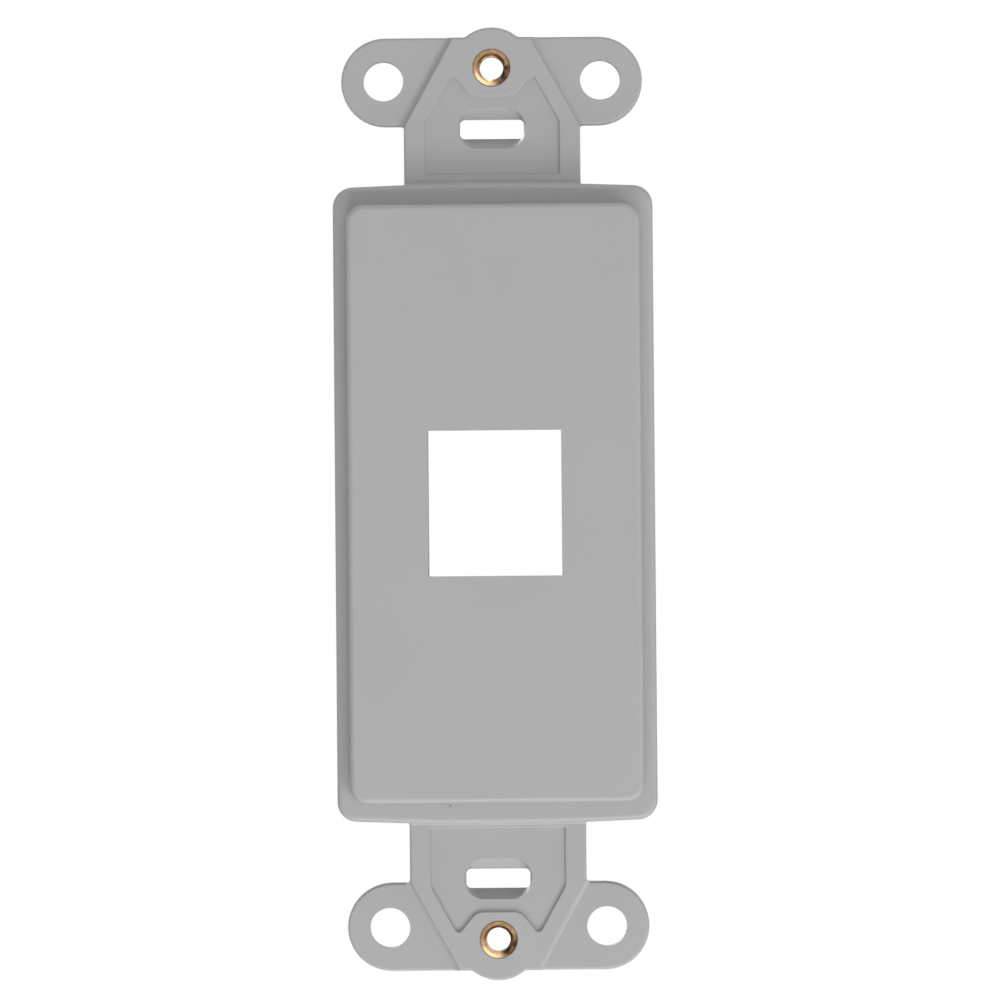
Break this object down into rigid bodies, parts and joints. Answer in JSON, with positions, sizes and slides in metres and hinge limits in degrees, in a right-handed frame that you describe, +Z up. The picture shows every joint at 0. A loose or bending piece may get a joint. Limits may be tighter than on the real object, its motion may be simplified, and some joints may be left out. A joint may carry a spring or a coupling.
{
  "type": "wall plate insert",
  "caption": "Upright moulded wall plate insert with a raised rectangular face, a square port for a snap-in jack module, and slotted mounting tabs with eared ends and brass threaded inserts.",
  "frame": {"origin": "middle of the wall plane, which the backs of the four ears rest on, centred on the port", "axes": "+Z up along the length, as mounted on a wall; the front faces -Y and +X is to the right"},
  "size_m": [0.0356, 0.0105, 0.1058],
  "materials": {
    "body_plastic": "grey moulded plastic with a fine satin texture",
    "insert_brass": "turned brass"
  },
  "bodies": {
    "root": {"insert_body": "body_plastic", "threaded_insert_top": "insert_brass", "threaded_insert_bottom": "insert_brass"}
  },
  "joints": []
}
